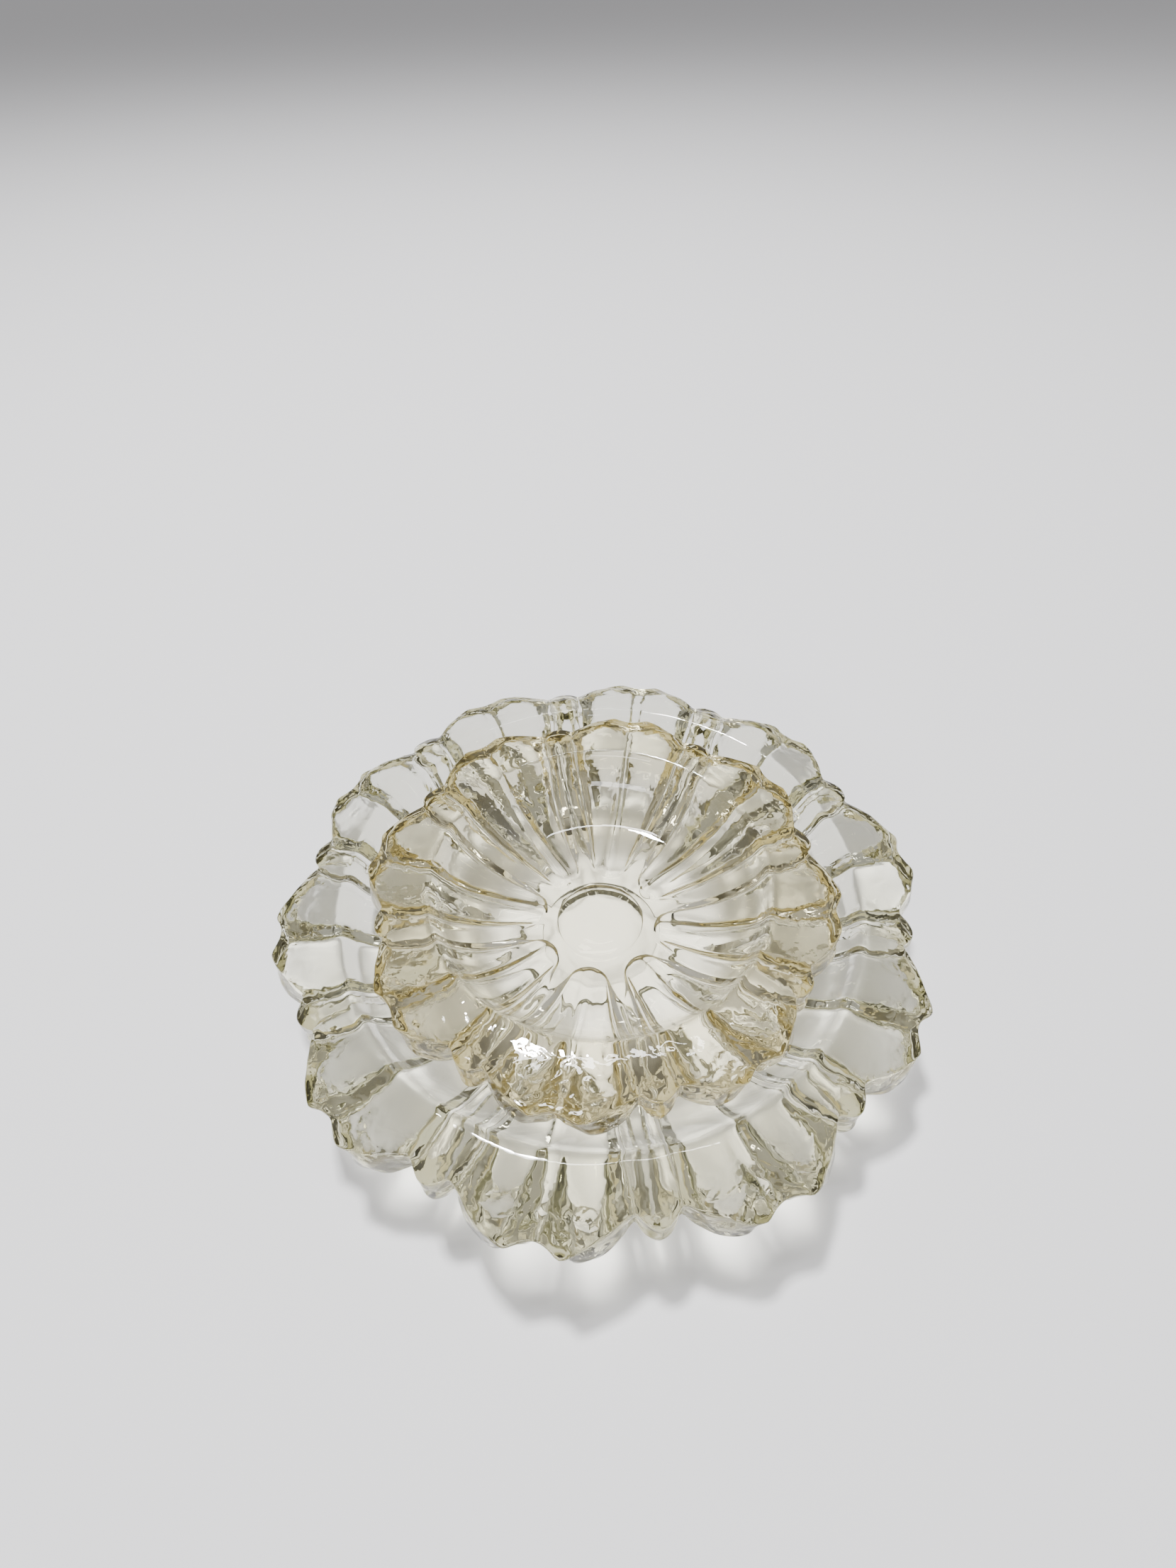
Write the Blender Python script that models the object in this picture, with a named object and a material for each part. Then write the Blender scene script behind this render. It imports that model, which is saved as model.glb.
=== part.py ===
"""A nested pair of heavy pressed-glass petal dishes.

Each dish is one piece of glass. Its well is a smooth bowl of revolution with a crisp round
edge, and its outside is pressed into broad petals, each split by a notch into two flutes,
with a narrow rounded lobe between one petal and the next. The flutes run down the wall and
under the dish to a flat star-shaped foot. The small dish stands loose in the well of the
large one.

Units are metres, +Z is up, the origin is the centre of the large dish's foot on the surface
it stands on, and a notch of each dish faces -Y.
"""
import math

import bmesh
import bpy

# ---------------------------------------------------------------- driving dimensions
LARGE_TIP_RADIUS = 0.0750       # centre to the petal tips: 150 mm across
SMALL_TIP_RADIUS = 0.0545       # 109 mm across
LARGE_HEIGHT = 0.0270           # foot to well edge
SMALL_HEIGHT = 0.0220
LARGE_FLOOR = 0.0078            # glass under the well
SMALL_FLOOR = 0.0072
STANDING_GAP = 0.0003           # between the small foot and the large floor
LARGE_PETALS = 10
SMALL_PETALS = 8

# ---------------------------------------------------------------- petal outline
LOBE_HALF_WIDTH = 0.10          # of one petal pitch
RIM_TIP_PLACE = 0.25            # from notch (0) to lobe crease (1), at the rim
WALL_TIP_PLACE = 0.38           # the same lower down the wall
RIM_FLANK_POWER = 1.12          # the rim runs almost straight from tip to crease
WALL_FLANK_POWER = 1.9          # the wall below is a round flute
NOTCH_INSET = 0.028             # of the tip radius
CREASE_INSET = 0.096
RIM_LOBE_INSET = 0.060
WALL_LOBE_INSET = 0.052

# ---------------------------------------------------------------- profile, of the tip radius
LARGE_WELL_EDGE = 0.784
SMALL_WELL_EDGE = 0.720
WELL_FLOOR_SHARE = 0.58         # flat floor's radius over the well edge's
WELL_EDGE_ANGLE = 72.0          # degrees turned by the bowl's curve at the edge
EDGE_ROUND = 0.010              # width of the rounded well edge
LARGE_RIM_HEIGHT = 0.84         # of the dish's height, the outer edge of the rim
SMALL_RIM_HEIGHT = 0.91
CREASE_SINK = 0.014             # how far the rim's edge sinks in the creases, of the tip radius
LOBE_SINK = 0.20                # how much further it sinks along a lobe, over that
SHOULDER_HEIGHT = 0.64          # of the dish's height, where the wall turns under
SHOULDER_PULL_IN = 0.012        # the shoulder's crests are this much inside the tips

# ---------------------------------------------------------------- foot, of the tip radius
PETAL_END_RADIUS = 0.25         # where the petals spring from the foot
PETAL_END_ROUND = 0.92          # radius of a petal's round end, of half a pitch there
STAR_POINT_RADIUS = 0.42        # star points, under the lobes
PETAL_END_RISE = 0.014          # rise of a petal's end above the foot

# ---------------------------------------------------------------- mesh
# Angular stations from a notch to the middle of a lobe, in petal pitches.
HALF_PETAL_STATIONS = (0.0, 0.05, 0.10, 0.20, 0.30, 0.40, 0.45, 0.50)
WELL_RINGS = 5
RIM_RINGS = 3
WALL_RINGS = 2
UNDER_RINGS = 6
SHARP_ANGLE = 40.0              # degrees

COLLECTION_NAME = "petal_dish_pair"


class Dish:
    """The sizes of one dish, and the height its foot stands at."""

    def __init__(self, name, petals, tip, height, floor, edge_share, rim_share, base):
        self.name = name
        self.petals = petals
        self.tip = tip
        self.height = height
        self.floor = floor
        self.edge = edge_share * tip
        self.rim_height = rim_share * height
        self.base = base


def make_dishes():
    """The two dishes of the pair, the large one first."""
    large = Dish(
        "large_dish", LARGE_PETALS, LARGE_TIP_RADIUS, LARGE_HEIGHT, LARGE_FLOOR,
        LARGE_WELL_EDGE, LARGE_RIM_HEIGHT, 0.0)
    small = Dish(
        "small_dish", SMALL_PETALS, SMALL_TIP_RADIUS, SMALL_HEIGHT, SMALL_FLOOR,
        SMALL_WELL_EDGE, SMALL_RIM_HEIGHT, LARGE_FLOOR + STANDING_GAP)
    return large, small


def petal_phase(azimuth, petals):
    """Signed distance from the nearest notch, in petal pitches (-0.5 to 0.5)."""
    turns = (azimuth + math.pi / 2.0) / (2.0 * math.pi) * petals
    return turns - math.floor(turns + 0.5)


def outline_inset(phase, tip_place, flank_power, lobe_inset):
    """How far the outline lies inside the tip radius, as a share of it."""
    away = abs(phase)
    crease = 0.5 - LOBE_HALF_WIDTH
    if away > crease:
        across = (0.5 - away) / LOBE_HALF_WIDTH
        return lobe_inset + (CREASE_INSET - lobe_inset) * across ** 2
    along = away / crease
    if along < tip_place:
        return NOTCH_INSET * (1.0 - (along / tip_place) ** 2)
    return CREASE_INSET * ((along - tip_place) / (1.0 - tip_place)) ** flank_power


def rim_inset(phase):
    """Inset of the rim's outer edge, pointed on both sides of a notch."""
    return outline_inset(phase, RIM_TIP_PLACE, RIM_FLANK_POWER, RIM_LOBE_INSET)


def wall_inset(phase):
    """Inset of the round flutes of the wall."""
    return outline_inset(phase, WALL_TIP_PLACE, WALL_FLANK_POWER, WALL_LOBE_INSET)


def sink_mask(phase):
    """How far the rim's edge sinks: 0 at a notch, 1 in a crease, more along a lobe."""
    away = abs(phase)
    crease = 0.5 - LOBE_HALF_WIDTH
    if away > crease:
        return 1.0 + LOBE_SINK * (1.0 - ((0.5 - away) / LOBE_HALF_WIDTH) ** 2)
    return (away / crease) ** 3


def well_point(dish, share):
    """Radius and height in the well, from the flat floor (0) to the edge (1)."""
    full = math.radians(WELL_EDGE_ANGLE)
    turn = full * share
    flat = WELL_FLOOR_SHARE * dish.edge
    inner = dish.edge - EDGE_ROUND * dish.tip
    radius = flat + (inner - flat) * math.sin(turn) / math.sin(full)
    depth = dish.height - EDGE_ROUND * dish.tip - dish.floor
    height = dish.floor + depth * (1.0 - math.cos(turn)) / (1.0 - math.cos(full))
    return radius, height


def rim_point(dish, phase, share):
    """Radius and height across the rim, from the well edge (0) to its outer edge (1)."""
    outer = dish.tip * (1.0 - rim_inset(phase))
    radius = dish.edge + (outer - dish.edge) * share
    reach = (radius - dish.edge) / (dish.tip - dish.edge)
    drop = (dish.height - dish.rim_height) * reach ** 1.5
    sink = CREASE_SINK * dish.tip * sink_mask(phase) * share ** 1.5
    return radius, dish.height - drop - sink


def shoulder_radius(dish, phase):
    """Radius of the wall where it turns under."""
    return dish.tip * (1.0 - SHOULDER_PULL_IN - wall_inset(phase))


def wall_point(dish, phase, share):
    """Radius and height on the wall, from the rim's outer edge (0) to the shoulder (1)."""
    top_radius, top_height = rim_point(dish, phase, 1.0)
    low_radius = shoulder_radius(dish, phase)
    low_height = SHOULDER_HEIGHT * dish.height
    radius = top_radius + (low_radius - top_radius) * share
    return radius, top_height + (low_height - top_height) * share


def foot_radius(dish, phase):
    """Radius of the star-shaped foot: round petal ends, and points under the lobes."""
    angle = abs(phase) * 2.0 * math.pi / dish.petals
    half_pitch = math.pi / dish.petals
    end = PETAL_END_RADIUS * dish.tip
    shape = math.sin(half_pitch * PETAL_END_ROUND * (0.5 - LOBE_HALF_WIDTH) * 2.0)
    middle = end / (1.0 - shape)
    bend = middle * shape
    widest = math.asin(shape)
    if angle < widest:
        reach = bend ** 2 - (middle * math.sin(angle)) ** 2
        return middle * math.cos(angle) - math.sqrt(reach)
    start = middle * math.cos(widest)
    toward_point = (angle - widest) / (half_pitch - widest)
    return start + (STAR_POINT_RADIUS * dish.tip - start) * toward_point


def petal_end_rise(dish, phase):
    """Height of the flutes' first ring above the foot: none under the middle of a lobe."""
    share = min(1.0, (0.5 - abs(phase)) / LOBE_HALF_WIDTH)
    return PETAL_END_RISE * dish.tip * share


def under_point(dish, phase, share):
    """Radius and height underneath, from the shoulder (0) to the foot (1)."""
    turn = (1.0 - share) * math.pi / 2.0
    start = foot_radius(dish, phase)
    rise = petal_end_rise(dish, phase)
    span = (1.0 - SHOULDER_PULL_IN) * dish.tip - start
    climb = SHOULDER_HEIGHT * dish.height - rise
    radius = start + span * math.sin(turn)
    height = rise + climb * (1.0 - math.cos(turn))
    depth = dish.tip * wall_inset(phase) * min(1.0, radius / dish.tip)
    relief = depth * math.sqrt(math.sin(turn))
    outward = climb * math.sin(turn)
    downward = span * math.cos(turn)
    length = math.hypot(outward, downward)
    return radius - relief * outward / length, height + relief * downward / length


def section(dish, phase):
    """The (radius, height) pairs of one radial section, from the well floor to the foot."""
    pairs = [well_point(dish, ring / WELL_RINGS) for ring in range(WELL_RINGS + 1)]
    pairs += [rim_point(dish, phase, ring / RIM_RINGS) for ring in range(RIM_RINGS + 1)]
    pairs += [wall_point(dish, phase, ring / WALL_RINGS) for ring in range(1, WALL_RINGS + 1)]
    pairs += [under_point(dish, phase, ring / UNDER_RINGS) for ring in range(1, UNDER_RINGS + 1)]
    pairs.append((foot_radius(dish, phase) - 0.5 * PETAL_END_RISE * dish.tip, 0.0))
    return pairs


def station_azimuths(dish):
    """The azimuths of every radial section, once round from the notch at -Y."""
    rising = HALF_PETAL_STATIONS
    falling = [1.0 - station for station in reversed(HALF_PETAL_STATIONS[1:-1])]
    pitch = 2.0 * math.pi / dish.petals
    azimuths = []
    for petal in range(dish.petals):
        for station in (*rising, *falling):
            azimuths.append(-math.pi / 2.0 + (petal + station) * pitch)
    return azimuths


def loft_dish(dish):
    """Loft the closed glass body between its radial sections."""
    mesh = bmesh.new()
    columns = []
    for azimuth in station_azimuths(dish):
        cosine = math.cos(azimuth)
        sine = math.sin(azimuth)
        pairs = section(dish, petal_phase(azimuth, dish.petals))
        column = [mesh.verts.new((r * cosine, r * sine, dish.base + z)) for r, z in pairs]
        columns.append(column)
    well_centre = mesh.verts.new((0.0, 0.0, dish.base + dish.floor))
    foot_centre = mesh.verts.new((0.0, 0.0, dish.base))
    for place, here in enumerate(columns):
        beyond = columns[(place + 1) % len(columns)]
        mesh.faces.new((well_centre, here[0], beyond[0]))
        for row in range(len(here) - 1):
            mesh.faces.new((here[row], here[row + 1], beyond[row + 1], beyond[row]))
        mesh.faces.new((foot_centre, beyond[-1], here[-1]))
    bmesh.ops.triangulate(mesh, faces=mesh.faces[:])
    bmesh.ops.recalc_face_normals(mesh, faces=mesh.faces[:])
    return mesh


def glass(name, colour):
    """A clear glass material with the tint of one dish."""
    material = bpy.data.materials.new(name)
    material.use_nodes = True
    shader = material.node_tree.nodes["Principled BSDF"]
    shader.inputs["Base Color"].default_value = (*colour, 1.0)
    shader.inputs["Roughness"].default_value = 0.03
    shader.inputs["Metallic"].default_value = 0.0
    shader.inputs["IOR"].default_value = 1.51
    shader.inputs["Transmission Weight"].default_value = 1.0
    return material


def add_dish(dish, material, collection):
    """Make the named object of one dish."""
    loft = loft_dish(dish)
    data = bpy.data.meshes.new(dish.name)
    loft.to_mesh(data)
    loft.free()
    data.materials.append(material)
    data.shade_smooth()
    data.set_sharp_from_angle(angle=math.radians(SHARP_ANGLE))
    piece = bpy.data.objects.new(dish.name, data)
    collection.objects.link(piece)


def main():
    """Build both dishes in their own collection."""
    for old in list(bpy.data.objects):
        bpy.data.objects.remove(old, do_unlink=True)
    collection = bpy.data.collections.new(COLLECTION_NAME)
    bpy.context.scene.collection.children.link(collection)
    large, small = make_dishes()
    add_dish(large, glass("glass_green_tint", (0.86, 0.90, 0.86)), collection)
    add_dish(small, glass("glass_straw_tint", (0.90, 0.87, 0.76)), collection)


main()
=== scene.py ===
"""Looks for a nested pair of heavy pressed-glass petal dishes.

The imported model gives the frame: two bodies, one for each dish, and the boxes that the glass
has to fill. Each dish is lofted again here as a fine surface, with the ribs and grooves that
the mould leaves under it, softened as fire polishing softens pressed glass, and dressed in
clear glass with its own faint tint.
"""

import logging
import math
from dataclasses import dataclass, field
from enum import Enum

import bpy
import numpy as np
from mathutils import Matrix, Vector


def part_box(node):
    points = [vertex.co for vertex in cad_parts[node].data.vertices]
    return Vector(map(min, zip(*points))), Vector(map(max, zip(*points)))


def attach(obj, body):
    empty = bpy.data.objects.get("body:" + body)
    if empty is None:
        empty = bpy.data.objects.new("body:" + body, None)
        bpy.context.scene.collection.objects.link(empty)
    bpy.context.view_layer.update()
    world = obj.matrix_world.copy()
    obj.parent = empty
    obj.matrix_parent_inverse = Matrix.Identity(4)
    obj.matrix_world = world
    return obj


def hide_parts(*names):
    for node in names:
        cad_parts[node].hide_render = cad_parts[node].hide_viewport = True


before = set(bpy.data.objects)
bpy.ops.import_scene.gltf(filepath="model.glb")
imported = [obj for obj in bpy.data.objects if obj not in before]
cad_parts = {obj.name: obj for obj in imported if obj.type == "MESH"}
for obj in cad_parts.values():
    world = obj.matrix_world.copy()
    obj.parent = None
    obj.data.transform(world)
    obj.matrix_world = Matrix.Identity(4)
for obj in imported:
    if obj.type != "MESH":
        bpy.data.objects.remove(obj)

LOG = logging.getLogger("petal_dishes")
QUARTER_TURN = math.pi / 2.0


class Tint(Enum):
    """The glass colours of the pair."""

    GREEN = "glass_green_tint"
    STRAW = "glass_straw_tint"


@dataclass(frozen=True)
class Flank:
    """How the outline runs over a petal at one level, as shares of the tip radius."""

    tip_place: float
    power: float
    lobe_inset: float


@dataclass(frozen=True)
class PetalOutline:
    """The pressed outline of one petal pitch, as shares of the tip radius.

    A place runs from -0.5 to 0.5 over one pitch, with the notch at 0 and the middle of the
    narrow lobe at either end. At the tips places are phases, equal shares of the pitch. Nearer
    the middle of the dish the lobes and the notch groove keep more of their width, so the same
    places crowd towards the flutes between them.
    """

    lobe_place: float = 0.40
    groove_place: float = 0.040
    notch_inset: float = 0.028
    crease_inset: float = 0.096
    lobe_sink: float = 0.20
    groove_depth: float = 0.014
    lobe_spread: float = 0.11
    groove_widest: float = 0.15
    flute_side: float = 0.45
    flute_power: float = 2.2

    def inset(self, place: np.ndarray, flank: Flank) -> np.ndarray:
        """Find how far the outline lies inside the tip radius.

        Args:
            place: Places round the dish, in petal pitches.
            flank: The run of the outline over a petal.

        Returns:
            The inset at each place, as a share of the tip radius.
        """
        away = np.abs(place)
        across = (0.5 - away) / (0.5 - self.lobe_place)
        lobe = flank.lobe_inset + (self.crease_inset - flank.lobe_inset) * across ** 2
        along = away / self.lobe_place
        near = self.notch_inset * (1.0 - (along / flank.tip_place) ** 2)
        beyond = np.clip((along - flank.tip_place) / (1.0 - flank.tip_place), 0.0, 1.0)
        petal = np.where(along < flank.tip_place, near, self.crease_inset * beyond ** flank.power)
        return np.where(away > self.lobe_place, lobe, petal)

    def flutes(self, place: np.ndarray) -> np.ndarray:
        """Find the depth of the round flutes under a petal, with a crest in the middle of each.

        Args:
            place: Places round the dish, in petal pitches.

        Returns:
            The depth at each place, as a share of the tip radius.
        """
        away = np.abs(place)
        across = (0.5 - away) / (0.5 - self.lobe_place)
        along = np.clip((away - self.groove_place) / (self.lobe_place - self.groove_place), 0.0, 1.0)
        side = np.where(along < 0.5, self.flute_side, 1.0)
        flute = self.crease_inset * side * np.abs(2.0 * along - 1.0) ** self.flute_power
        return np.where(away > self.lobe_place, self.crease_inset * across ** 2, flute)

    def groove(self, place: np.ndarray) -> np.ndarray:
        """Find the depth of the narrow groove that runs in from the notch.

        Args:
            place: Places round the dish, in petal pitches.

        Returns:
            The depth at each place, as a share of the tip radius.
        """
        across = np.clip(np.abs(place) / self.groove_place, 0.0, 1.0)
        return self.groove_depth * (1.0 - across ** 2)

    def sink_mask(self, place: np.ndarray) -> np.ndarray:
        """Find how far the rim's edge sinks: 0 at a notch, 1 in a crease, more along a lobe.

        Args:
            place: Places round the dish, in petal pitches.

        Returns:
            The mask at each place.
        """
        away = np.abs(place)
        across = (0.5 - away) / (0.5 - self.lobe_place)
        lobe = 1.0 + self.lobe_sink * (1.0 - across ** 2)
        return np.where(away > self.lobe_place, lobe, (away / self.lobe_place) ** 3)

    def phase(self, place: np.ndarray, reach: np.ndarray) -> np.ndarray:
        """Turn places into phases at some distance from the middle.

        Args:
            place: Places round the dish, in petal pitches.
            reach: Distance from the middle, as a share of the tip radius.

        Returns:
            Signed shares of the pitch from the notch.
        """
        groove = np.minimum(self.groove_place / reach, self.groove_widest)
        lobe = 0.5 - self.lobe_place + self.lobe_spread * (1.0 - reach)
        away = np.abs(place)
        inner = away / self.groove_place * groove
        share = (away - self.groove_place) / (self.lobe_place - self.groove_place)
        middle = groove + (0.5 - lobe - groove) * share
        outer = 0.5 - (0.5 - away) / (0.5 - self.lobe_place) * lobe
        away = np.where(away < self.groove_place, inner, middle)
        return np.sign(place) * np.where(np.abs(place) > self.lobe_place, outer, away)


@dataclass(frozen=True)
class RippleField:
    """Waves that the mould and the fire leave in the outer surface of pressed glass."""

    height: float
    shortest: float
    seed: int
    waves: int = 24
    spread: float = 1.6

    def offsets(self, points: np.ndarray) -> np.ndarray:
        """Sum a few plane waves over the points.

        Args:
            points: Positions, in metres, in the last axis.

        Returns:
            The signed height of the ripple at each point, in metres.
        """
        draws = np.random.default_rng(self.seed)
        total = np.zeros(points.shape[:-1])
        for _ in range(self.waves):
            direction = draws.normal(size=3)
            direction /= np.linalg.norm(direction)
            length = self.shortest * (1.0 + self.spread * draws.random())
            start = draws.random() * 2.0 * math.pi
            total += np.sin(points @ direction * (2.0 * math.pi / length) + start)
        return self.height * total / math.sqrt(self.waves)


def crowd_to_end(share: np.ndarray) -> np.ndarray:
    """Space even shares from 0 to 1 closer together towards 1.

    Args:
        share: Evenly spaced shares.

    Returns:
        The same number of shares, twice as close together at 1 as if they were even.
    """
    return 0.5 * share + 0.5 * np.sin(share * QUARTER_TURN)


@dataclass
class PetalDish:
    """One pressed-glass dish, lofted between its round well and its petalled outside."""

    name: str
    body: str
    node: str
    petals: int
    tip: float
    height: float
    floor: float
    edge_share: float
    rim_share: float
    base: float
    tint: Tint
    ripples: tuple[RippleField, ...]
    outline: PetalOutline = field(default_factory=PetalOutline)
    rim_flank: Flank = Flank(tip_place=0.25, power=1.12, lobe_inset=0.060)
    wall_flank: Flank = Flank(tip_place=0.38, power=1.9, lobe_inset=0.052)
    well_floor_share: float = 0.58
    well_edge_turn: float = math.radians(72.0)
    edge_round: float = 0.010
    crease_sink: float = 0.014
    rim_drop_power: float = 1.5
    shoulder_height: float = 0.64
    shoulder_pull_in: float = 0.012
    petal_end: float = 0.25
    petal_end_round: float = 0.92
    star_point: float = 0.42
    petal_end_rise: float = 0.014
    mark_radius: float = 0.193
    mark_depth: float = 0.00030
    relief_start: float = 0.45
    relief_fade: float = 0.35
    groove_fade: float = 0.5
    rim_ripple: float = 0.6
    under_ripple: float = 0.25
    groove_columns: int = 6
    flute_columns: int = 22
    lobe_columns: int = 9
    well_rows: int = 40
    rim_rows: int = 40
    wall_rows: int = 22
    under_rows: int = 64
    foot_rows: int = 10
    rim_polish_passes: int = 9
    rim_polish_margin: int = 4

    @property
    def edge(self) -> float:
        """Radius of the well's edge."""
        return self.edge_share * self.tip

    def half_petal(self) -> np.ndarray:
        """Places from a notch to the middle of a lobe, closer together where the shape is fine."""
        groove = np.linspace(0.0, self.outline.groove_place, self.groove_columns + 1)
        flute = np.linspace(self.outline.groove_place, self.outline.lobe_place,
                            self.flute_columns + 1)
        lobe = np.linspace(self.outline.lobe_place, 0.5, self.lobe_columns + 1)
        return np.concatenate([groove, flute[1:], lobe[1:]])

    def columns(self) -> tuple[np.ndarray, np.ndarray]:
        """Lay the columns once round the dish, from the notch at -Y.

        Returns:
            The place of each column in its petal, and the azimuth of that petal's notch.
        """
        half = self.half_petal()
        places = np.concatenate([-half[:0:-1], half[:-1]])
        notches = -QUARTER_TURN + 2.0 * math.pi * np.arange(self.petals) / self.petals
        return np.tile(places, self.petals), np.repeat(notches, len(places))

    def well(self, share: np.ndarray) -> tuple[np.ndarray, np.ndarray]:
        """Trace the well from its flat floor to its edge.

        Args:
            share: Places along the curve, 0 at the floor and 1 at the edge.

        Returns:
            Radii and heights above the foot.
        """
        full = self.well_edge_turn
        flat = self.well_floor_share * self.edge
        inner = self.edge - self.edge_round * self.tip
        radius = flat + (inner - flat) * np.sin(full * share) / math.sin(full)
        depth = self.height - self.edge_round * self.tip - self.floor
        height = self.floor + depth * (1.0 - np.cos(full * share)) / (1.0 - math.cos(full))
        return radius, height

    def rim(self, place: np.ndarray, share: np.ndarray) -> tuple[np.ndarray, np.ndarray]:
        """Trace the domed rim from the well's edge to its own outer edge.

        Args:
            place: Places round the dish, in petal pitches.
            share: Places across the rim, 0 at the well's edge and 1 at the outer edge.

        Returns:
            Radii and heights above the foot.
        """
        outer = self.tip * (1.0 - self.outline.inset(place, self.rim_flank))
        radius = self.edge + (outer - self.edge) * share
        reach = (radius - self.edge) / (self.tip - self.edge)
        drop = self.height * (1.0 - self.rim_share) * reach ** self.rim_drop_power
        mask = self.outline.sink_mask(place)
        sink = self.crease_sink * self.tip * mask * share ** self.rim_drop_power
        return radius, self.height - drop - sink

    def wall(self, place: np.ndarray, share: np.ndarray) -> tuple[np.ndarray, np.ndarray]:
        """Trace the wall from the rim's outer edge down to the shoulder.

        Args:
            place: Places round the dish, in petal pitches.
            share: Places down the wall, 0 at the rim and 1 at the shoulder.

        Returns:
            Radii and heights above the foot.
        """
        top_radius, top_height = self.rim(place, np.ones_like(share))
        inset = self.outline.inset(place, self.wall_flank) + self.outline.groove(place)
        low_radius = self.tip * (1.0 - self.shoulder_pull_in - inset)
        low_height = self.shoulder_height * self.height
        bulge = np.sin(share * QUARTER_TURN)
        radius = top_radius + (low_radius - top_radius) * bulge
        return radius, top_height + (low_height - top_height) * share

    def foot_radius(self, phase: np.ndarray) -> np.ndarray:
        """Radius of the star-shaped foot, with round petal ends and points under the lobes.

        Args:
            phase: Signed shares of the pitch from the notch.

        Returns:
            The radius at each phase.
        """
        half_pitch = math.pi / self.petals
        angle = np.abs(phase) * 2.0 * half_pitch
        spread = half_pitch * self.petal_end_round * 2.0 * self.outline.lobe_place
        shape = math.sin(spread)
        middle = self.petal_end * self.tip / (1.0 - shape)
        reach = (middle * shape) ** 2 - (middle * np.sin(angle)) ** 2
        rounded = middle * np.cos(angle) - np.sqrt(np.clip(reach, 0.0, None))
        start = middle * math.cos(spread)
        toward = np.clip((angle - spread) / (half_pitch - spread), 0.0, 1.0)
        pointed = start + (self.star_point * self.tip - start) * toward
        return np.where(angle < spread, rounded, pointed)

    def reaches(self, share: np.ndarray) -> np.ndarray:
        """Nominal distance from the middle along the underside, as a share of the tip radius."""
        return self.petal_end + (1.0 - self.petal_end) * np.cos(share * QUARTER_TURN)

    def under(self, place: np.ndarray, share: np.ndarray) -> tuple[np.ndarray, np.ndarray]:
        """Trace the ribs and flutes under the dish from the shoulder to the foot.

        Args:
            place: Places round the dish, in petal pitches.
            share: Places along the curve, 0 at the shoulder and 1 at the foot.

        Returns:
            Radii and heights above the foot.
        """
        turn = (1.0 - share) * QUARTER_TURN
        foot_phase = self.outline.phase(place, np.full_like(place, self.petal_end))
        start = self.foot_radius(foot_phase)
        beside = np.clip((0.5 - np.abs(place)) / (0.5 - self.outline.lobe_place), 0.0, 1.0)
        rise = self.petal_end_rise * self.tip * beside
        span = (1.0 - self.shoulder_pull_in) * self.tip - start
        climb = self.shoulder_height * self.height - rise
        radius = start + span * np.sin(turn)
        height = rise + climb * (1.0 - np.cos(turn))
        under = np.clip(share / self.relief_start, 0.0, 1.0)
        under = under * under * (3.0 - 2.0 * under)
        wall = self.outline.inset(place, self.wall_flank)
        depth = wall + (self.outline.flutes(place) - wall) * under
        fade = np.clip(np.sin(turn), 0.0, None) ** self.relief_fade
        fade = fade * np.minimum(1.0, radius / self.tip)
        groove = self.outline.groove(place) * (1.0 - self.groove_fade * share)
        relief = self.tip * (depth * fade + groove)
        outward = climb * np.sin(turn)
        downward = span * np.cos(turn)
        length = np.hypot(outward, downward)
        return radius - relief * outward / length, height + relief * downward / length

    def pressed(self) -> tuple[np.ndarray, np.ndarray]:
        """Lay out the surface from the well's floor to the petal ends.

        Returns:
            Positions above the foot, shaped (columns, rows, 3), and how much each row ripples.
        """
        place, notch = self.columns()
        place = place[:, None]
        ones = np.ones_like(place)
        well = np.linspace(0.0, 1.0, self.well_rows)[None, :]
        rim = crowd_to_end(np.linspace(0.0, 1.0, self.rim_rows))[None, :]
        wall = 1.0 - crowd_to_end(np.linspace(1.0, 0.0, self.wall_rows + 1))[None, 1:]
        under = np.linspace(0.0, 1.0, self.under_rows + 1)[None, 1:]
        well_radius, well_height = self.well(well)
        traces = [(well_radius * ones, well_height * ones)]
        traces.append(self.rim(place, rim * ones))
        traces.append(self.wall(place, wall * ones))
        traces.append(self.under(place * np.ones_like(under), under * ones))
        radius = np.concatenate([trace[0] for trace in traces], axis=1)
        height = np.concatenate([trace[1] for trace in traces], axis=1)
        above = np.ones((1, self.well_rows + self.rim_rows + self.wall_rows))
        reach = np.concatenate([above, self.reaches(under)], axis=1)
        phase = self.outline.phase(place * np.ones_like(reach), reach * ones)
        azimuth = notch[:, None] + phase * 2.0 * math.pi / self.petals
        grid = np.stack([radius * np.cos(azimuth), radius * np.sin(azimuth), height], axis=2)
        rim_waves = self.rim_ripple * rim ** self.rim_drop_power
        under_waves = self.under_ripple + (1.0 - self.under_ripple) * (1.0 - under) ** 3
        waves = [np.zeros_like(well), rim_waves, np.ones_like(wall), under_waves]
        return grid, np.concatenate(waves, axis=1)

    def polish(self, grid: np.ndarray) -> np.ndarray:
        """Soften edges and creases a little, as fire polishing does.

        Args:
            grid: Surface positions, shaped (columns, rows, 3).

        Returns:
            The softened positions.
        """
        around = 0.25 * np.roll(grid, 1, axis=0) + 0.25 * np.roll(grid, -1, axis=0)
        grid = 0.5 * grid + around
        first = self.well_rows - self.rim_polish_margin
        last = self.well_rows + self.rim_rows + self.wall_rows + self.rim_polish_margin
        for _ in range(self.rim_polish_passes):
            edge = grid[:, first:last]
            middle = 0.5 * edge[:, 1:-1] + 0.25 * (edge[:, :-2] + edge[:, 2:])
            grid[:, first + 1:last - 1] = middle
        return grid

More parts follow.
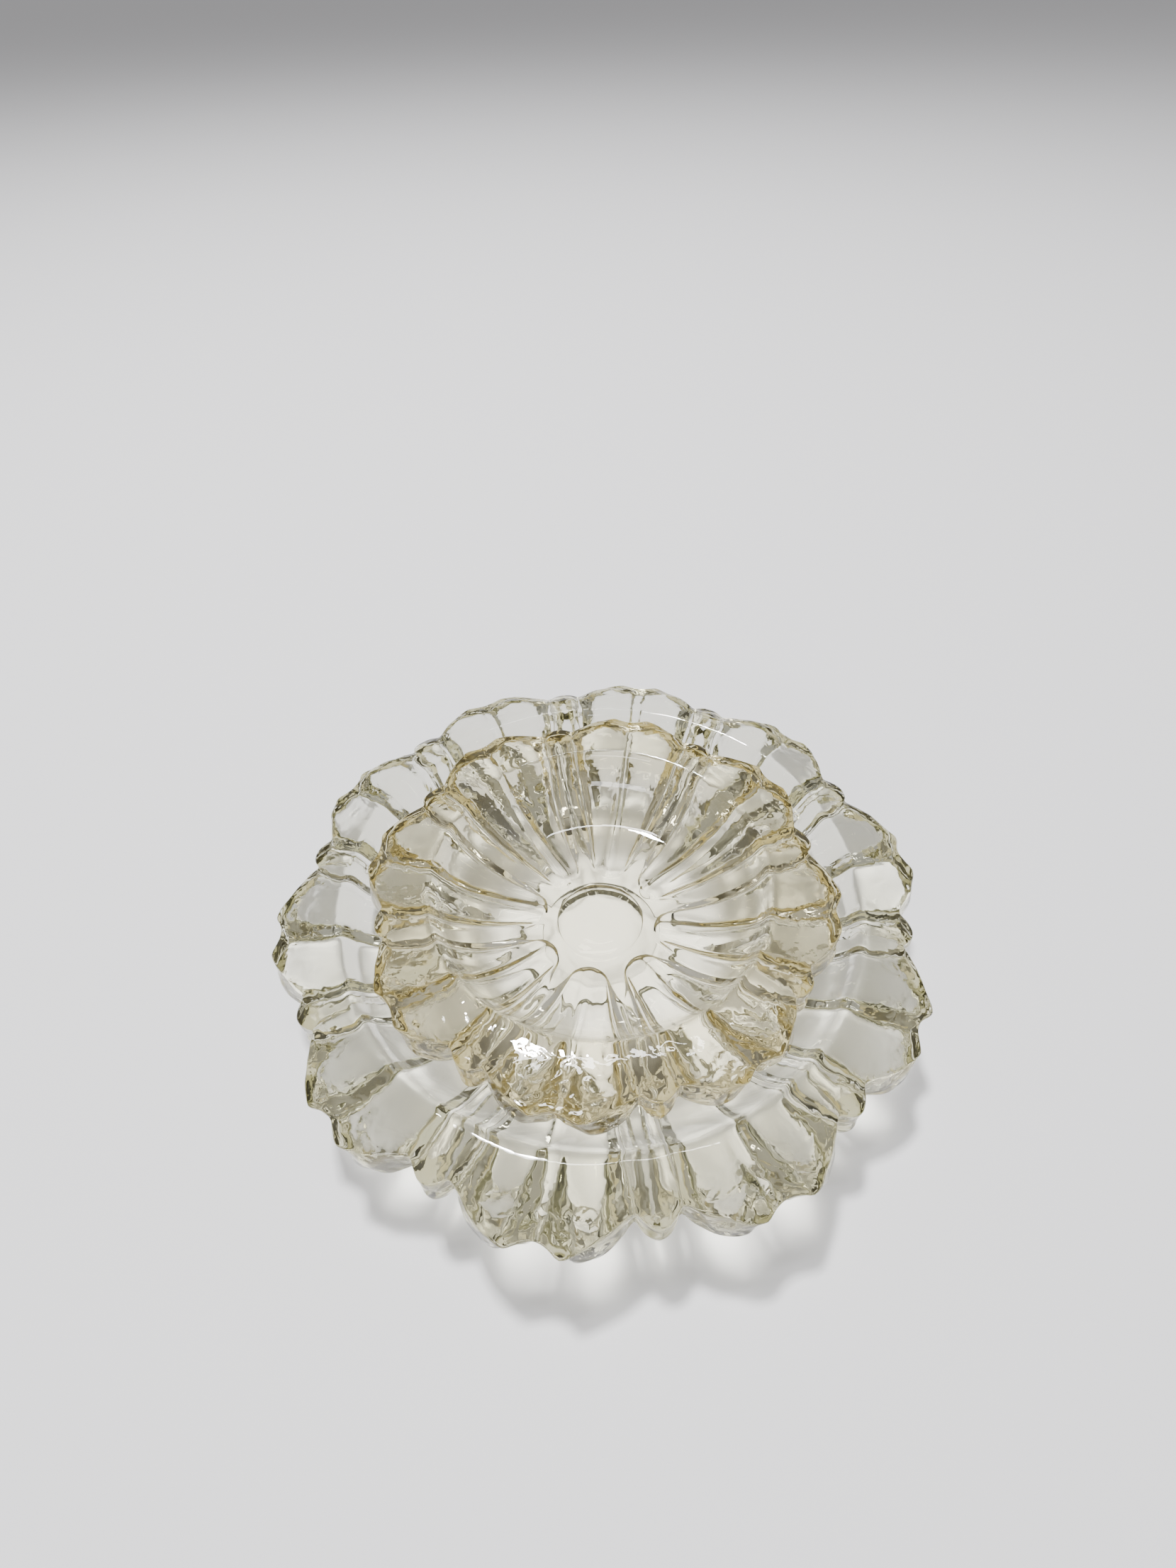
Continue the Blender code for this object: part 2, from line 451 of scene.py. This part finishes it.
    def ripple(self, grid: np.ndarray, share: np.ndarray) -> np.ndarray:
        """Wave the outer surface slightly, along its normals.

        Args:
            grid: Surface positions, shaped (columns, rows, 3).
            share: How much each row ripples, from 0 to 1.

        Returns:
            The rippled positions.
        """
        around = np.roll(grid, -1, axis=0) - np.roll(grid, 1, axis=0)
        down = np.gradient(grid, axis=1)
        normal = np.cross(down, around)
        normal /= np.maximum(np.linalg.norm(normal, axis=2, keepdims=True), 1e-12)
        offset = sum(ripple.offsets(grid) for ripple in self.ripples)
        return grid + normal * (offset * share)[:, :, None]

    def foot(self, edge: np.ndarray) -> np.ndarray:
        """Lay out the flat star of the foot and the round sunk mark in its middle.

        Args:
            edge: The last row of the pressed surface, shaped (columns, 3).

        Returns:
            Positions above the foot, shaped (columns, rows, 3).
        """
        reach = np.hypot(edge[:, 0], edge[:, 1])[:, None]
        azimuth = np.arctan2(edge[:, 1], edge[:, 0])[:, None]
        start = reach - 0.5 * self.petal_end_rise * self.tip
        mark = self.mark_radius * self.tip
        share = np.linspace(0.0, 1.0, self.foot_rows)[None, :] ** 0.5
        star = start + (mark - start) * share
        sunk = np.array([[mark - 0.5 * self.mark_depth, mark - self.mark_depth, 0.5 * mark]])
        radius = np.concatenate([star, sunk * np.ones_like(reach)], axis=1)
        height = np.concatenate([np.zeros_like(star), np.array([[0.5, 1.0, 1.0]])
                                 * self.mark_depth * np.ones_like(reach)], axis=1)
        return np.stack([radius * np.cos(azimuth), radius * np.sin(azimuth), height], axis=2)

    def grid(self) -> np.ndarray:
        """Lay out the whole surface as columns round the dish by rows from floor to foot.

        Returns:
            Positions in metres, shaped (columns, rows, 3).
        """
        pressed, rippled = self.pressed()
        pressed = self.ripple(self.polish(pressed), rippled)
        pressed[:, :, 2] = np.clip(pressed[:, :, 2], 0.0, self.height)
        grid = np.concatenate([pressed, self.foot(pressed[:, -1])], axis=1)
        grid[:, :, 2] += self.base
        return grid

    def mesh(self) -> bpy.types.Mesh:
        """Build the closed glass surface.

        Returns:
            A mesh in the row frame, shaded smooth.
        """
        grid = self.grid()
        columns, rows, _ = grid.shape
        points = grid.reshape(-1, 3)
        centres = np.array([[0.0, 0.0, self.base + self.floor],
                            [0.0, 0.0, self.base + self.mark_depth]])
        here = np.arange(columns)[:, None] * rows + np.arange(rows - 1)[None, :]
        beyond = np.roll(np.arange(columns), -1)[:, None] * rows + np.arange(rows - 1)[None, :]
        quads = np.stack([here, here + 1, beyond + 1, beyond], axis=2).reshape(-1, 4)
        first = np.arange(columns) * rows
        last = first + rows - 1
        fans = [(len(points), int(a), int(b)) for a, b in zip(first, np.roll(first, -1))]
        fans += [(len(points) + 1, int(b), int(a)) for a, b in zip(last, np.roll(last, -1))]
        data = bpy.data.meshes.new(self.name)
        data.from_pydata(np.concatenate([points, centres]).tolist(), [], quads.tolist() + fans)
        data.validate()
        data.shade_smooth()
        return data

    def build(self, material: bpy.types.Material) -> bpy.types.Object:
        """Make the dish, dress it, and put it in place of its CAD node.

        Args:
            material: The glass it is made of.

        Returns:
            The new object.
        """
        data = self.mesh()
        data.materials.append(material)
        piece = bpy.data.objects.new(self.name, data)
        bpy.context.scene.collection.objects.link(piece)
        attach(piece, self.body)
        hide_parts(self.node)
        LOG.info("%s: %d faces on body %s", self.name, len(data.polygons), self.body)
        return piece


def maths_node(nodes: bpy.types.Nodes, operation: str, second: float = 0.0) -> bpy.types.Node:
    """Add a Math node.

    Args:
        nodes: Where it goes.
        operation: What it does.
        second: Its second number, unless that is linked.

    Returns:
        The node.
    """
    node = nodes.new("ShaderNodeMath")
    node.operation = operation
    node.inputs[1].default_value = second
    return node


class WaveGroup:
    """Node group for the fine waves in a glass surface and its smears."""

    name = "PressedGlassSurface"
    well_waves = 0.08
    waves_start = 1.0
    waves_full = 1.12

    @classmethod
    def tree(cls) -> bpy.types.NodeTree:
        """Make the group once and hand it out after that.

        Returns:
            The node tree, with height and smear outputs.
        """
        if cls.name in bpy.data.node_groups:
            return bpy.data.node_groups[cls.name]
        tree = bpy.data.node_groups.new(cls.name, "ShaderNodeTree")
        face = tree.interface
        inputs_wanted = (("Wave Scale", 140.0), ("Mark Scale", 520.0), ("Mark Share", 0.15),
                         ("Well Radius", 0.05))
        for label, value in inputs_wanted:
            socket = face.new_socket(label, in_out="INPUT", socket_type="NodeSocketFloat")
            socket.default_value = value
        for label in ("Height", "Smear"):
            face.new_socket(label, in_out="OUTPUT", socket_type="NodeSocketFloat")
        nodes = tree.nodes
        links = tree.links
        inputs = nodes.new("NodeGroupInput")
        outputs = nodes.new("NodeGroupOutput")
        place = nodes.new("ShaderNodeTexCoord")
        waves = nodes.new("ShaderNodeTexNoise")
        waves.inputs["Detail"].default_value = 1.0
        waves.inputs["Distortion"].default_value = 0.8
        marks = nodes.new("ShaderNodeTexNoise")
        marks.inputs["Detail"].default_value = 2.0
        smear = nodes.new("ShaderNodeTexNoise")
        smear.inputs["Scale"].default_value = 35.0
        smear.inputs["Detail"].default_value = 3.0
        mix = nodes.new("ShaderNodeMix")
        for texture in (waves, marks, smear):
            links.new(place.outputs["Object"], texture.inputs["Vector"])
        links.new(inputs.outputs["Wave Scale"], waves.inputs["Scale"])
        links.new(inputs.outputs["Mark Scale"], marks.inputs["Scale"])
        links.new(inputs.outputs["Mark Share"], mix.inputs["Factor"])
        links.new(waves.outputs["Fac"], mix.inputs["A"])
        links.new(marks.outputs["Fac"], mix.inputs["B"])
        flat = nodes.new("ShaderNodeVectorMath")
        flat.operation = "MULTIPLY"
        flat.inputs[1].default_value = (1.0, 1.0, 0.0)
        reach = nodes.new("ShaderNodeVectorMath")
        reach.operation = "LENGTH"
        beyond = maths_node(nodes, "DIVIDE")
        outside = nodes.new("ShaderNodeMapRange")
        outside.interpolation_type = "SMOOTHSTEP"
        outside.inputs["From Min"].default_value = cls.waves_start
        outside.inputs["From Max"].default_value = cls.waves_full
        outside.inputs["To Min"].default_value = cls.well_waves
        outside.inputs["To Max"].default_value = 1.0
        height = maths_node(nodes, "MULTIPLY")
        links.new(place.outputs["Object"], flat.inputs[0])
        links.new(flat.outputs["Vector"], reach.inputs[0])
        links.new(reach.outputs["Value"], beyond.inputs[0])
        links.new(inputs.outputs["Well Radius"], beyond.inputs[1])
        links.new(beyond.outputs["Value"], outside.inputs["Value"])
        links.new(mix.outputs["Result"], height.inputs[0])
        links.new(outside.outputs["Result"], height.inputs[1])
        links.new(height.outputs["Value"], outputs.inputs["Height"])
        links.new(smear.outputs["Fac"], outputs.inputs["Smear"])
        return tree


@dataclass(frozen=True)
class PressedGlass:
    """Clear pressed glass with a faint tint that deepens with thickness."""

    tint: Tint
    absorbs: tuple[float, float, float]
    density: float
    well_radius: float
    wave_scale: float = 240.0
    wave_height: float = 0.00035
    ior: float = 1.51
    shadow_clearness: float = 0.90
    clear_until: float = 0.08
    dark_from: float = 0.28
    smear_roughness: float = 0.02
    most_crossings: float = 7.5
    most_echoes: float = 2.5

    def material(self) -> bpy.types.Material:
        """Build the glass.

        Returns:
            The node material.
        """
        material = bpy.data.materials.new(self.tint.value)
        material.use_nodes = True
        nodes = material.node_tree.nodes
        links = material.node_tree.links
        shader = nodes["Principled BSDF"]
        shader.inputs["Base Color"].default_value = (1.0, 1.0, 1.0, 1.0)
        shader.inputs["Metallic"].default_value = 0.0
        shader.inputs["IOR"].default_value = self.ior
        shader.inputs["Transmission Weight"].default_value = 1.0
        group = nodes.new("ShaderNodeGroup")
        group.node_tree = WaveGroup.tree()
        group.inputs["Wave Scale"].default_value = self.wave_scale
        group.inputs["Well Radius"].default_value = self.well_radius
        bump = nodes.new("ShaderNodeBump")
        bump.inputs["Strength"].default_value = 1.0
        bump.inputs["Distance"].default_value = self.wave_height
        links.new(group.outputs["Height"], bump.inputs["Height"])
        links.new(bump.outputs["Normal"], shader.inputs["Normal"])
        gloss = nodes.new("ShaderNodeMapRange")
        gloss.inputs["From Min"].default_value = 0.50
        gloss.inputs["From Max"].default_value = 0.75
        gloss.inputs["To Min"].default_value = 0.0
        gloss.inputs["To Max"].default_value = self.smear_roughness
        links.new(group.outputs["Smear"], gloss.inputs["Value"])
        links.new(gloss.outputs["Result"], shader.inputs["Roughness"])
        self.let_light_through(material, shader)
        volume = nodes.new("ShaderNodeVolumeAbsorption")
        volume.inputs["Color"].default_value = (*self.absorbs, 1.0)
        volume.inputs["Density"].default_value = self.density
        links.new(volume.outputs["Volume"], nodes["Material Output"].inputs["Volume"])
        return material

    def let_light_through(self, material: bpy.types.Material, shader: bpy.types.Node) -> None:
        """Let lamps shine through where the glass faces them, and free light that is trapped.

        Args:
            material: The glass.
            shader: Its Principled shader.
        """
        nodes = material.node_tree.nodes
        links = material.node_tree.links
        path = nodes.new("ShaderNodeLightPath")
        facing = nodes.new("ShaderNodeLayerWeight")
        facing.inputs["Blend"].default_value = 0.5
        clear = nodes.new("ShaderNodeMapRange")
        clear.inputs["From Min"].default_value = self.clear_until
        clear.inputs["From Max"].default_value = self.dark_from
        clear.inputs["To Min"].default_value = self.shadow_clearness
        clear.inputs["To Max"].default_value = 0.0
        links.new(facing.outputs["Facing"], clear.inputs["Value"])
        lamps = maths_node(nodes, "MULTIPLY")
        links.new(path.outputs["Is Shadow Ray"], lamps.inputs[0])
        links.new(clear.outputs["Result"], lamps.inputs[1])
        trapped = maths_node(nodes, "GREATER_THAN", self.most_crossings)
        links.new(path.outputs["Ray Depth"], trapped.inputs[0])
        echoed = maths_node(nodes, "GREATER_THAN", self.most_echoes)
        links.new(path.outputs["Glossy Depth"], echoed.inputs[0])
        freed = maths_node(nodes, "MAXIMUM")
        links.new(trapped.outputs["Value"], freed.inputs[0])
        links.new(echoed.outputs["Value"], freed.inputs[1])
        factor = maths_node(nodes, "MAXIMUM")
        links.new(lamps.outputs["Value"], factor.inputs[0])
        links.new(freed.outputs["Value"], factor.inputs[1])
        mix = nodes.new("ShaderNodeMixShader")
        clear_glass = nodes.new("ShaderNodeBsdfTransparent")
        links.new(factor.outputs["Value"], mix.inputs["Fac"])
        links.new(shader.outputs["BSDF"], mix.inputs[1])
        links.new(clear_glass.outputs["BSDF"], mix.inputs[2])
        links.new(mix.outputs["Shader"], nodes["Material Output"].inputs["Surface"])


@dataclass
class Studio:
    """The plain pale floor, the soft lights and the camera."""

    floor_half: float = 40.0
    floor_gap: float = 0.0003
    floor_colour: tuple[float, float, float] = (0.82, 0.815, 0.835)
    low_colour: tuple[float, float, float] = (0.15, 0.145, 0.135)
    high_colour: tuple[float, float, float] = (0.62, 0.62, 0.63)
    world_strength: float = 1.0
    dim_below: float = 0.30
    bright_above: float = 0.95
    camera_place: tuple[float, float, float] = (0.0171, -0.1008, 0.1727)
    camera_heading: float = math.radians(10.8)
    camera_pitch: float = math.radians(47.66)
    camera_roll: float = math.radians(-1.5)
    camera_lens: float = 17.7

    def floor(self) -> bpy.types.Object:
        """Lay the floor under the dishes.

        Returns:
            The floor.
        """
        half = self.floor_half
        data = bpy.data.meshes.new("floor")
        low = -self.floor_gap
        corners = [(-half, -half, low), (half, -half, low), (half, half, low), (-half, half, low)]
        data.from_pydata(corners, [], [(0, 1, 2, 3)])
        floor = bpy.data.objects.new("floor", data)
        bpy.context.scene.collection.objects.link(floor)
        material = bpy.data.materials.new("pale_floor")
        material.use_nodes = True
        shader = material.node_tree.nodes["Principled BSDF"]
        shader.inputs["Base Color"].default_value = (*self.floor_colour, 1.0)
        shader.inputs["Roughness"].default_value = 0.65
        data.materials.append(material)
        return floor

    def world(self) -> None:
        """Fill the room with soft light, bright overhead and dim near the floor."""
        world = bpy.data.worlds.new("room")
        world.use_nodes = True
        nodes = world.node_tree.nodes
        links = world.node_tree.links
        way = nodes.new("ShaderNodeTexCoord")
        split = nodes.new("ShaderNodeSeparateXYZ")
        ramp = nodes.new("ShaderNodeMapRange")
        ramp.interpolation_type = "SMOOTHSTEP"
        ramp.inputs["From Min"].default_value = self.dim_below
        ramp.inputs["From Max"].default_value = self.bright_above
        mix = nodes.new("ShaderNodeMix")
        mix.data_type = "RGBA"
        mix.inputs["A"].default_value = (*self.low_colour, 1.0)
        mix.inputs["B"].default_value = (*self.high_colour, 1.0)
        links.new(way.outputs["Generated"], split.inputs["Vector"])
        links.new(split.outputs["Z"], ramp.inputs["Value"])
        links.new(ramp.outputs["Result"], mix.inputs["Factor"])
        background = nodes["Background"]
        links.new(mix.outputs["Result"], background.inputs["Color"])
        background.inputs["Strength"].default_value = self.world_strength
        bpy.context.scene.world = world

    def softbox(self, name: str, place: tuple[float, float, float], size: tuple[float, float],
                power: float) -> bpy.types.Object:
        """Hang a rectangular soft light that faces the dishes.

        Args:
            name: The light's name.
            place: Its position, in metres.
            size: Its width and depth, in metres.
            power: Its power, in watts.

        Returns:
            The light.
        """
        data = bpy.data.lights.new(name, "AREA")
        data.shape = "RECTANGLE"
        data.size = size[0]
        data.size_y = size[1]
        data.energy = power
        light = bpy.data.objects.new(name, data)
        light.location = place
        light.rotation_euler = (-Vector(place)).to_track_quat("-Z", "Y").to_euler()
        bpy.context.scene.collection.objects.link(light)
        return light

    def camera(self) -> bpy.types.Object:
        """Set up the camera, looking down at the dishes from in front.

        Returns:
            The camera.
        """
        data = bpy.data.cameras.new("camera")
        data.lens = self.camera_lens
        data.sensor_width = 36.0
        data.clip_start = 0.01
        camera = bpy.data.objects.new("camera", data)
        heading = Matrix.Rotation(self.camera_heading, 4, "Z")
        tilt = Matrix.Rotation(QUARTER_TURN - self.camera_pitch, 4, "X")
        roll = Matrix.Rotation(self.camera_roll, 4, "Z")
        camera.matrix_world = Matrix.Translation(self.camera_place) @ heading @ tilt @ roll
        bpy.context.scene.collection.objects.link(camera)
        bpy.context.scene.camera = camera
        return camera

    def build(self) -> None:
        """Set up the whole studio."""
        self.floor()
        self.world()
        self.softbox("key_panel", (-0.26, 0.36, 1.42), (0.16, 0.12), 32.0)
        self.softbox("ceiling_panel", (-0.10, 0.28, 1.45), (0.60, 0.08), 7.0)
        self.softbox("front_panel", (-0.1, -1.5, 0.75), (1.00, 0.20), 9.0)
        self.camera()


def main() -> None:
    """Build the studio and both dishes."""
    logging.basicConfig(level=logging.INFO, format="%(name)s: %(message)s")
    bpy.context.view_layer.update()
    Studio().build()
    green = PressedGlass(Tint.GREEN, absorbs=(0.76, 0.75, 0.60), density=42.0,
                         well_radius=0.0588)
    straw = PressedGlass(Tint.STRAW, absorbs=(0.78, 0.71, 0.39), density=37.0,
                         well_radius=0.0392)
    large_low, large_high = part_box("large_dish")
    small_low, small_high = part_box("small_dish")
    large = PetalDish(
        name="large_dish_glass", body="large_dish", node="large_dish", petals=10, tip=0.0748,
        height=large_high.z - large_low.z, floor=0.0078, edge_share=0.784, rim_share=0.84,
        base=large_low.z, tint=Tint.GREEN,
        ripples=(RippleField(0.00013, 0.0050, 7), RippleField(0.00010, 0.0027, 8)))
    small = PetalDish(
        name="small_dish_glass", body="small_dish", node="small_dish", petals=8, tip=0.0543,
        height=small_high.z - small_low.z, floor=0.0072, edge_share=0.720, rim_share=0.91,
        base=small_low.z, tint=Tint.STRAW,
        ripples=(RippleField(0.00012, 0.0050, 17), RippleField(0.00009, 0.0027, 18)))
    large.build(green.material())
    small.build(straw.material())


if __name__ == "__main__":
    main()
